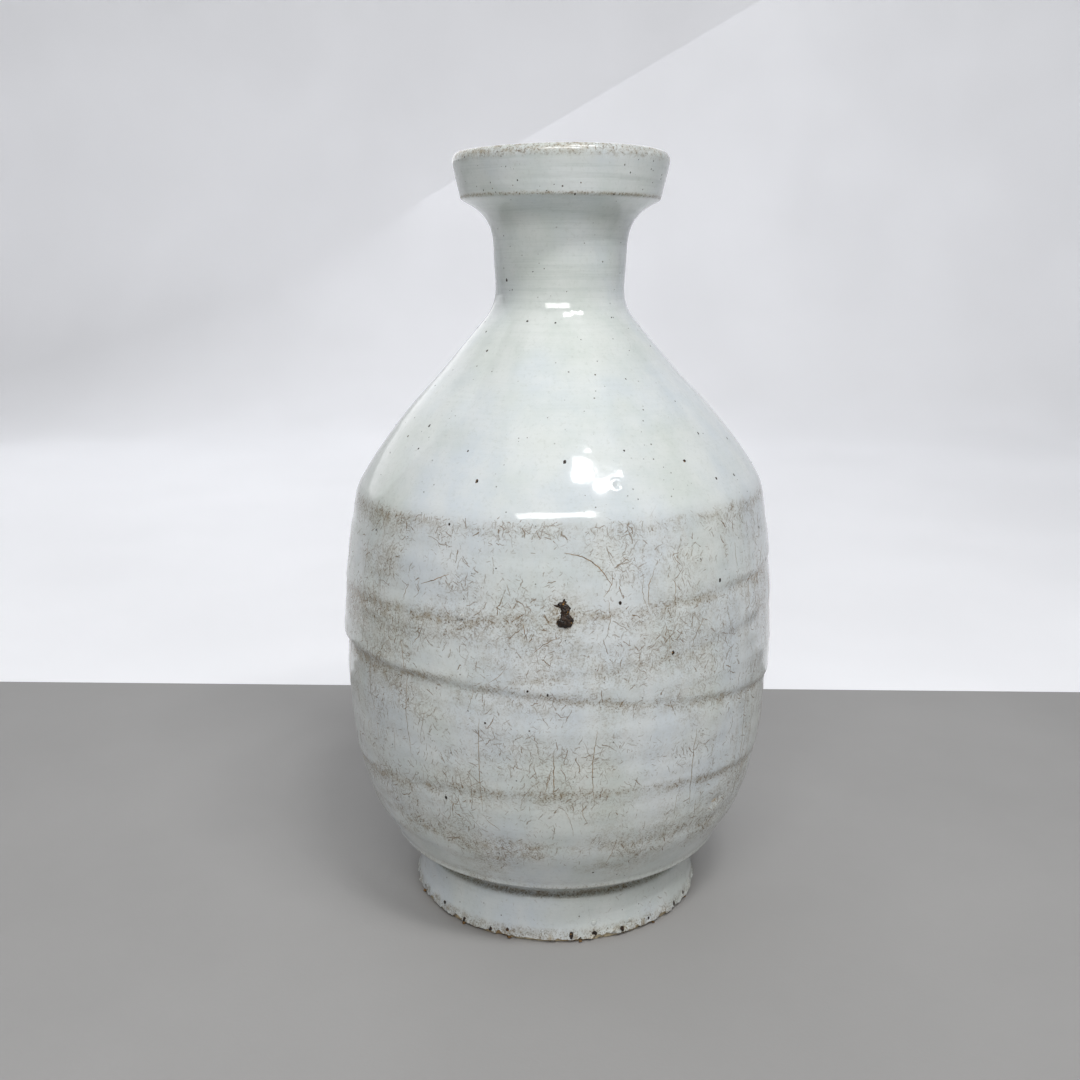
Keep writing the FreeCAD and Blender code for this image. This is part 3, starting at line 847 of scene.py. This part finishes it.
def make_recess_glaze():
    """The thin coat under the floor, inside the foot ring."""
    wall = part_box("base_glaze")[1].x / MM
    low = (wall - LINING, RECESS_LOW)
    corner = (wall - 1.1 - LINING, RECESS_TOP - LINING)
    path = run_together([
        curve_through([(0, RECESS_TOP - 0.35), (20, RECESS_TOP - 0.4), corner]),
        curve_through([corner, low])], [1.6])
    points, faces = turned_shell(path, 0.3, 1.2, 256, lambda points: 0.1 * cloud(points, 6, 41))
    piece = finish_mesh("foot_recess_glaze", points, faces, CLEAN_GLAZE,
                        ["base_glaze"])
    points = points_of(piece)
    stain = 0.25 + 0.5 * fade(cloud(points, 12, 42, 3), -0.1, 0.5)
    set_masks(piece, stain=stain, craze=0 * stain)
    return piece


# ---- clay and the foot

def refined(node, longest):
    """A copy of a CAD node's mesh, its long edges divided."""
    mesh = bmesh.new()
    mesh.from_mesh(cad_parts[node].data)
    bmesh.ops.remove_doubles(mesh, verts=mesh.verts, dist=1e-6)
    for _ in range(5):
        long_edges = [edge for edge in mesh.edges if edge.calc_length() > longest * MM]
        if not long_edges:
            break
        bmesh.ops.subdivide_edges(mesh, edges=long_edges, cuts=1)
    bmesh.ops.triangulate(mesh, faces=mesh.faces)
    points = np.array([vertex.co for vertex in mesh.verts]) / MM
    faces = [[vertex.index for vertex in face.verts] for face in mesh.faces]
    mesh.free()
    return points, faces


def make_clay_sections():
    """The clay and slip behind the glaze, in the thrown shape."""
    for slot, nodes in (
            ("white_porcelain_clay", ("lower_body", "shoulder_cone", "neck_tube", "dish_mouth")),
            ("luting_slip", ("foot_slip", "shoulder_slip", "neck_slip", "mouth_slip"))):
        for node in nodes:
            points, faces = refined(node, longest=3.2)
            finish_mesh("thrown_" + node, in_thrown_shape(points), faces, HIDDEN_CLAY,
                        [node])


# Corners of the bare foot ring's section, as radius and height.
RING_SOCKET_TOP = (38.6, 15.2)
RING_SOCKET_FLOOR = (38.6, 9.0)
RING_RECESS_TOP = (41.2, 9.0)
RING_INNER_EDGE = (42.6, 1.2)
RING_REST_INNER = (43.6, 0.0)
RING_REST_OUTER = (47.0, 0.0)
RING_OUTER_EDGE = (47.5, 1.5)
RING_WAIST = (46.35, 6.5)
RING_SHOULDER = (45.7, 13.4)
RING_OUTER_TOP = (44.5, 15.2)


def make_foot_ring():
    """The bare clay ring on which the bottle stands, its lower edge chipped."""
    corners = (RING_SOCKET_TOP, RING_SOCKET_FLOOR, RING_RECESS_TOP, RING_INNER_EDGE,
               RING_REST_INNER, RING_REST_OUTER, RING_OUTER_EDGE)
    stretches = [curve_through(pair) for pair in zip(corners, corners[1:])]
    stretches += [curve_through([RING_OUTER_EDGE, RING_WAIST, RING_SHOULDER]),
                  curve_through([RING_SHOULDER, RING_OUTER_TOP]),
                  curve_through([RING_OUTER_TOP, RING_SOCKET_TOP])]
    path = run_together(stretches, [0, 0, 0.5, 0.5, 0.5, 0.6, 0.4, 0])
    rows = spread_rows(path, 0.9, math.radians(14))[:-1]
    segments = 512
    points = turn_rows(rows, segments).reshape(-1, 3)
    normals = turn_rows(outward(rows), segments).reshape(-1, 3)
    radius = np.hypot(points[:, 0], points[:, 1])
    edge = (1 - fade(points[:, 2], 0.3, 3.0)) * fade(radius, 45.6, 46.8)
    crumbled = 0.55 * fade(cloud(points, 3.0, 51, 3), 0.0, 0.5) + 0.3 * cloud(points, 1.3, 52, 3)
    rough = 0.05 * cloud(points, 1.5, 53, 3)
    points = points + normals * (rough - edge * np.clip(crumbled, 0, 1.2))[:, None]
    points[:, 2] = np.maximum(points[:, 2], 0.0)
    return finish_mesh("bare_foot_ring", points, loop_faces(len(rows), segments), BARE_CLAY,
                       ["foot_ring"])


# ---- marks in the glaze

def wall_tree(pieces):
    """A search tree over the pieces, in millimetres, for finding their surface."""
    points, faces = [], []
    for piece in pieces:
        start = len(points)
        points += [vertex.co / MM for vertex in piece.data.vertices]
        faces += [[start + i for i in polygon.vertices] for polygon in piece.data.polygons]
    return BVHTree.FromPolygons(points, faces)


def on_wall(tree, azimuth, height):
    """The point and normal of the glazed outside at an azimuth in degrees and a height."""
    turn = math.radians(azimuth)
    away = Vector((math.sin(turn), -math.cos(turn), 0))
    start = away * 120 + Vector((0, 0, height))
    place, normal, _, _ = tree.ray_cast(start, -away)
    return place, normal


def wall_frame(normal):
    """Directions round and up the wall at a point with this normal."""
    around = Vector((0, 0, 1)).cross(normal).normalized()
    return around, normal.cross(around)


def lumpy_ball(divisions, seed, roughness=0.25):
    """A rough ball of radius one, as points and faces."""
    ball = bmesh.new()
    bmesh.ops.create_icosphere(ball, subdivisions=divisions, radius=1.0)
    points = np.array([vertex.co for vertex in ball.verts])
    faces = [[vertex.index for vertex in face.verts] for face in ball.faces]
    ball.free()
    points = points * (1 + roughness * cloud(points, 0.9, seed, 3))[:, None]
    return points, faces


class Gathered:
    """Many small closed meshes gathered into one piece."""

    def __init__(self):
        self.points = []
        self.faces = []

    def add(self, points, faces):
        start = len(self.points)
        self.points += [tuple(point) for point in points]
        self.faces += [[start + index for index in face] for face in faces]


# Belts of the larger iron specks: how many, between which heights, and how large.
SPECK_BELTS = (
    {"count": 22, "low": RIDGE + 4, "high": RIDGE + 18, "size": (0.6, 1.2)},
    {"count": 18, "low": NECK_ROOT - 16, "high": NECK_ROOT + 3, "size": (0.5, 0.9)},
    {"count": 24, "low": 42, "high": RIDGE - 6, "size": (0.6, 1.2)},
    {"count": 26, "low": FOOT_EDGE + 0.6, "high": FOOT_EDGE + 2.2, "size": (0.9, 1.8)},
)

# How many small specks are strewn over the bottle, and about how far any speck stands out.
SPECK_COUNT = 190
SPECK_STAND = 0.05


def add_speck(specks, tree, azimuth, height, across, up, seed):
    place, normal = on_wall(tree, azimuth, height)
    around, upward = wall_frame(normal)
    points, faces = lumpy_ball(2 if across > 0.5 else 1, seed, 0.4)
    thick = SPECK_STAND * 2
    shaped = [place + around * (p[0] * across / 2) + upward * (p[1] * up / 2)
              + normal * (p[2] * thick - SPECK_STAND * 0.8) for p in points]
    specks.add(shaped, faces)


def make_specks(tree):
    """Iron specks that have bled through the glaze, all round the bottle."""
    draw = random.Random(5)
    specks = Gathered()
    for belt in SPECK_BELTS:
        for number in range(belt["count"]):
            azimuth = (number + draw.uniform(-0.45, 0.45)) * 360 / belt["count"]
            height = draw.uniform(belt["low"], belt["high"])
            size = draw.uniform(*belt["size"])
            add_speck(specks, tree, azimuth, height, size, size * draw.uniform(0.8, 1.4), number)
    for number in range(SPECK_COUNT):
        azimuth = draw.uniform(-180, 180)
        height = draw.choice((draw.uniform(30, 138), draw.uniform(140, 222),
                              draw.uniform(226, 238)))
        size = draw.uniform(0.22, 0.5) * (1.7 if draw.random() < 0.12 else 1.0)
        add_speck(specks, tree, azimuth, height, size, size * draw.uniform(0.7, 1.6), number + 60)
    return finish_mesh("iron_specks", specks.points, specks.faces, IRON)


# Blisters and beads of the glaze: azimuth, height, radius, stand, and whether it burst.
BLISTERS = ((*BLISTER, 1.35, 0.3, True), (*PINHOLE, 1.3, 0.22, True),
            (15, 6, 0.95, 0.4, False), (-5, 4, 0.5, 0.3, False), (30, 4.5, 0.7, 0.35, False),
            (-130, 95, 1.2, 0.25, True), (160, 125, 1.1, 0.25, True), (105, 60, 1.2, 0.25, True))
# Their sections from the rim in: reach as a share of the radius, lift as one of the stand.
BURST_OUTLINE = ((1.25, -0.6), (1.1, -0.1), (0.9, 0.35), (0.7, 0.85), (0.52, 1.0), (0.4, 0.7),
                 (0.3, 0.1), (0.2, -0.35), (0.0, -0.5))
BEAD_OUTLINE = ((1.2, -0.6), (1.05, -0.1), (0.92, 0.3), (0.7, 0.7), (0.4, 0.93), (0.0, 1.0))


def make_blisters(tree):
    """Burst bubbles and beads, each a small closed mound set into the glaze."""
    mounds = Gathered()
    segments = 28
    for number, (azimuth, height, radius, stand, burst) in enumerate(BLISTERS):
        place, normal = on_wall(tree, azimuth, height)
        around, upward = wall_frame(normal)
        outline = curve_through(BURST_OUTLINE if burst else BEAD_OUTLINE, 0.09)
        rows = np.vstack([outline, [(0.0, -1.6), (1.25, -1.6)]])
        points = []
        for reach, lift in rows:
            for step in range(segments):
                turn = 2 * math.pi * step / segments
                uneven = 1 + 0.12 * noise.noise(Vector((math.cos(turn), math.sin(turn), number)))
                flat = Vector((math.cos(turn), math.sin(turn), 0)) * reach * radius * uneven
                points.append(place + around * flat.x + upward * flat.y + normal * lift * stand)
        mounds.add(points, loop_faces(len(rows), segments))
    piece = finish_mesh("glaze_blisters", mounds.points, mounds.faces, CRAZED_GLAZE)
    stain, craze = stain_and_shade_masks(points_of(piece))
    set_masks(piece, stain=np.clip(stain + 0.15, 0, 1), craze=craze * 0.3)
    return piece


# The curved scratch beside the scar: degrees to its right and millimetres above it.
SCRATCH = ((0, 16), (4, 15), (8, 12), (11, 7))
SCRATCH_WIDTH = 0.34
# Families of cracks: how many, where their tops are, their lengths, lean and widths.
CRACK_FAMILIES = (
    {"count": 22, "top": (58, 98), "length": (12, 30), "lean": 1.6, "width": (0.2, 0.3)},
    {"count": 34, "top": (104, 132), "length": (4, 11), "lean": 4.0, "width": (0.18, 0.27)},
    {"count": 90, "top": (38, 132), "length": (3, 11), "lean": 2.2, "width": (0.1, 0.2)},
)

CRACK_SIDES = 6


def crack_tube(line, width):
    """A flat, tapering filling along a line of (place, normal), sunk into the wall."""
    count = len(line)
    points = []
    for number, (place, normal) in enumerate(line):
        before = line[max(0, number - 1)][0]
        after = line[min(count - 1, number + 1)][0]
        along = (after - before).normalized()
        side = along.cross(normal)
        share = number / (count - 1)
        half = width / 2 * max(0.12, math.sin(math.pi * (0.06 + 0.88 * share)) ** 0.6)
        half *= 1 + 0.35 * noise.noise(place * 1.7)
        for corner in range(CRACK_SIDES):
            turn = 2 * math.pi * corner / CRACK_SIDES
            points.append(place + side * (half * math.cos(turn))
                          + normal * (0.035 * math.sin(turn) - 0.008))
    faces = []
    for ring in range(count - 1):
        for corner in range(CRACK_SIDES):
            following = (corner + 1) % CRACK_SIDES
            low, high = ring * CRACK_SIDES, (ring + 1) * CRACK_SIDES
            faces.append([low + corner, low + following, high + following, high + corner])
    faces.append(list(range(CRACK_SIDES))[::-1])
    faces.append([(count - 1) * CRACK_SIDES + corner for corner in range(CRACK_SIDES)])
    return points, faces


def add_crack(cracks, tree, width, points, wobble_seed):
    """Adds one crack through (azimuth, height) points, with a slight wander."""
    path = spread_rows(curve_through(points, 0.3), 0.55)
    line = []
    for number, (azimuth, height) in enumerate(path):
        wander = Vector((number * 0.35, wobble_seed * 3.1, 0))
        azimuth += 0.28 * noise.noise(wander)
        height += 0.22 * noise.noise(wander + Vector((0, 0, 8)))
        line.append(on_wall(tree, azimuth, height))
    cracks.add(*crack_tube(line, width))


def make_cracks(tree):
    """Cracks and scratches dark with age: one beside the scar, the rest drawn by rule."""
    draw = random.Random(9)
    cracks = Gathered()
    beside_scar = [(SCAR_AZIMUTH + right, SCAR.z + above) for right, above in SCRATCH]
    add_crack(cracks, tree, SCRATCH_WIDTH, beside_scar, 0)
    for family in CRACK_FAMILIES:
        for number in range(family["count"]):
            azimuth = (number + draw.uniform(-0.5, 0.5)) * 360 / family["count"]
            top = draw.uniform(*family["top"])
            length = min(draw.uniform(*family["length"]), top - 30)
            lean = draw.gauss(0, family["lean"])
            middle = azimuth + lean * 0.5 + draw.uniform(-1, 1)
            points = ((azimuth, top), (middle, top - length / 2), (azimuth + lean, top - length))
            add_crack(cracks, tree, draw.uniform(*family["width"]), points, number + 40)
    return finish_mesh("stained_cracks", cracks.points, cracks.faces, CRACK_STAIN)


# Lumps of the scar: across, up, half-width, half-height and stand.
SCAR_LUMPS = ((0.1, 3.3, 0.75, 0.95, 0.35), (-0.5, 1.9, 1.0, 0.9, 0.55),
              (-1.75, 1.75, 0.85, 0.42, 0.3), (0.45, 0.7, 1.05, 1.1, 0.7),
              (0.2, -0.7, 0.95, 1.0, 0.6), (0.65, -2.3, 1.35, 1.3, 0.95),
              (-0.35, -3.0, 1.15, 0.95, 0.75), (0.5, -3.7, 1.0, 0.6, 0.45))
# How much wider and taller each lump is drawn, so that neighbours run together.
SCAR_SPREAD = 1.3


def make_scar(tree):
    """The crusty iron scar: a narrow top with a spur to the left, a waist and a lobe."""
    place, normal = on_wall(tree, SCAR_AZIMUTH, SCAR.z)
    around, upward = wall_frame(normal)
    scar = Gathered()
    for number, (across, up, wide, tall, stand) in enumerate(SCAR_LUMPS):
        wide, tall = wide * SCAR_SPREAD, tall * SCAR_SPREAD
        points, faces = lumpy_ball(3, number + 200, 0.3)
        scar.add([place + around * (across + p[0] * wide) + upward * (up + p[1] * tall)
                  + normal * (p[2] * stand - 0.12) for p in points], faces)
    piece = finish_mesh("scar_crust", scar.points, scar.faces, IRON, ["iron_scar"])
    fuse = piece.modifiers.new("fuse", "REMESH")
    fuse.mode = "VOXEL"
    fuse.voxel_size = 0.13 * MM
    bpy.context.view_layer.update()
    fused = bpy.data.meshes.new_from_object(piece.evaluated_get(
        bpy.context.evaluated_depsgraph_get()))
    piece.modifiers.clear()
    place_of = np.array([vertex.co for vertex in fused.vertices]) / MM
    crust = cloud(place_of, 0.7, 77, 3) * 0.16
    for vertex, lift in zip(fused.vertices, crust):
        vertex.co = vertex.co + vertex.normal * (lift * MM)
    fused.materials.clear()
    fused.materials.append(IRON)
    fused.shade_smooth()
    piece.data = fused
    return piece


def islands(node):
    """The centre and the radius of each separate solid of a CAD node."""
    work = bmesh.new()
    work.from_mesh(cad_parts[node].data)
    bmesh.ops.remove_doubles(work, verts=work.verts, dist=1e-6)
    left = set(work.verts)
    found = []
    while left:
        group, edge = set(), [left.pop()]
        while edge:
            vertex = edge.pop()
            group.add(vertex)
            for link in vertex.link_edges:
                other = link.other_vert(vertex)
                if other in left:
                    left.remove(other)
                    edge.append(other)
        place = np.array([vertex.co for vertex in group]) / MM
        low, high = place.min(axis=0), place.max(axis=0)
        found.append((Vector((low + high) / 2), float((high - low).max() / 2)))
    work.free()
    return sorted(found, key=lambda island: tuple(island[0]))


def make_grit():
    """Grains of kiln sand stuck round the foot's edges, where the CAD has them."""
    grit = Gathered()
    for number, (centre, radius) in enumerate(islands("kiln_grit")):
        points, faces = lumpy_ball(3, number + 300, 0.45)
        flat = 0.75 + 0.2 * math.sin(number * 2.3)
        grit.add([centre + Vector((p[0] * radius * 1.15, p[1] * radius * 1.15, p[2] * radius * flat))
                  for p in points], faces)
    return finish_mesh("kiln_sand_grains", grit.points, grit.faces, SAND,
                       ["kiln_grit"])


# ---- the whole bottle

foot = make_wall_piece("foot_glaze", None, FOOT_SEAM, step=0.55, segments=640, skin=foot_skin)
belly = make_wall_piece("belly_glaze", FOOT_SEAM, RIDGE_SEAM, step=0.95, segments=640)
shoulder = make_wall_piece("shoulder_glaze", RIDGE_SEAM, LEDGE_SEAM, step=0.85, segments=512)
mouth = make_wall_piece("mouth_glaze", LEDGE_SEAM, None, step=0.5, segments=448)
make_linings()
make_recess_glaze()
make_clay_sections()
wall = wall_tree([foot, belly, shoulder, mouth, make_foot_ring()])
make_blisters(wall)
make_specks(wall)
make_cracks(wall)
make_scar(wall)
make_grit()


# ---- floor, light and camera

FLOOR_EDGE = 171  # where the greyer sheet that the bottle stands on ends
FLOOR_BACK = 1250
FLOOR_FRONT = -1400
FLOOR_SIDE = 1500
WALL_TOP = 1300
COVE = 250
STAGE_GRAIN = 180


def add_backdrop(name, points, faces, *materials):
    """A backdrop from points in metres, which isn't part of the bottle."""
    mesh = bpy.data.meshes.new(name)
    mesh.from_pydata(points, [], faces)
    for material in materials:
        mesh.materials.append(material)
    backdrop = bpy.data.objects.new(name, mesh)
    bpy.context.scene.collection.objects.link(backdrop)
    return mesh


def make_stage():
    """A pale floor that turns up into a pale wall well behind the bottle."""
    outline = run_together([
        curve_through([(FLOOR_FRONT, 0), (FLOOR_BACK, 0)], 20),
        curve_through([(FLOOR_BACK, 0), (FLOOR_BACK, WALL_TOP)], 20)], [COVE])
    points = [(side * FLOOR_SIDE * MM, y * MM, z * MM) for y, z in outline for side in (-1, 1)]
    faces = [[2 * i, 2 * i + 1, 2 * i + 3, 2 * i + 2] for i in range(len(outline) - 1)]
    mesh = add_backdrop("floor_and_wall", points, faces,
                        make_matt("pale_wall", tone(238, 239, 243), STAGE_GRAIN, glow=0.2),
                        make_matt("pale_floor", tone(170, 169, 168), STAGE_GRAIN))
    mesh.shade_smooth()
    for face in mesh.polygons:
        face.material_index = int(face.center.y < FLOOR_EDGE * MM)


def make_screens():
    """Pale screens on the other three sides, so that every view has a pale ground."""
    left, right, front, top = -FLOOR_SIDE, FLOOR_SIDE, FLOOR_FRONT, WALL_TOP
    corners = ((left, FLOOR_BACK), (left, front), (right, front), (right, FLOOR_BACK))
    points = [(x * MM, y * MM, z * MM) for x, y in corners for z in (0, top)]
    faces = [[2 * i, 2 * i + 2, 2 * i + 3, 2 * i + 1] for i in range(3)]
    add_backdrop("pale_screens", points, faces,
                 make_matt("pale_screen", tone(172, 172, 175), STAGE_GRAIN, glow=0.06))


def add_light(name, place, target, width, tall, power, colour=(1, 1, 1)):
    """A rectangular soft light aimed from one point in metres at another."""
    light = bpy.data.lights.new(name, "AREA")
    light.shape = "RECTANGLE"
    light.size = width
    light.size_y = tall
    light.energy = power
    light.color = colour
    holder = bpy.data.objects.new(name, light)
    holder.location = place
    holder.rotation_euler = (Vector(target) - Vector(place)).to_track_quat("-Z", "Y").to_euler()
    bpy.context.scene.collection.objects.link(holder)


def make_lights():
    """A frontal key, two windows, a wash over the wall, and a fill for the back."""
    middle = (0, 0, 0.13)
    add_light("soft_key", (-0.02, -0.80, 0.76), middle, 0.66, 0.2, 4.6, (1.0, 0.99, 0.975))
    add_light("window_low", (0.39, -0.48, 0.97), middle, 0.25, 0.05, 1.9)
    add_light("window_high", (0.19, -0.49, 1.03), middle, 0.17, 0.10, 2.1)
    add_light("wall_wash", (0.0, -0.28, 1.6), (0, 0.17, 0.3), 1.4, 1.2, 3.6, (0.97, 0.98, 1.0))
    add_light("back_fill", (-0.35, 0.85, 0.75), middle, 1.7, 1.1, 5.0, (0.97, 0.98, 1.0))
    world = bpy.data.worlds.new("room")
    world.use_nodes = True
    room = world.node_tree.nodes["Background"]
    room.inputs["Color"].default_value = (0.86, 0.9, 1.0, 1.0)
    room.inputs["Strength"].default_value = 0.035
    bpy.context.scene.world = world


def make_camera():
    """The camera as it stood for the reference: close, a little above the shoulder."""
    lens = bpy.data.cameras.new("camera")
    lens.sensor_width = 36
    lens.lens = 38.33
    camera = bpy.data.objects.new("camera", lens)
    camera.location = (0, -0.3692, 0.2065)
    pitch, yaw, roll = math.radians(13.4), math.radians(0.92), math.radians(0.23)
    look = (Matrix.Rotation(yaw, 3, "Z") @ Matrix.Rotation(math.pi / 2 - pitch, 3, "X")
            @ Matrix.Rotation(roll, 3, "Z"))
    camera.rotation_euler = look.to_euler()
    bpy.context.scene.collection.objects.link(camera)
    bpy.context.scene.camera = camera


make_stage()
make_screens()
make_lights()
make_camera()
bpy.context.scene.view_settings.view_transform = "Standard"
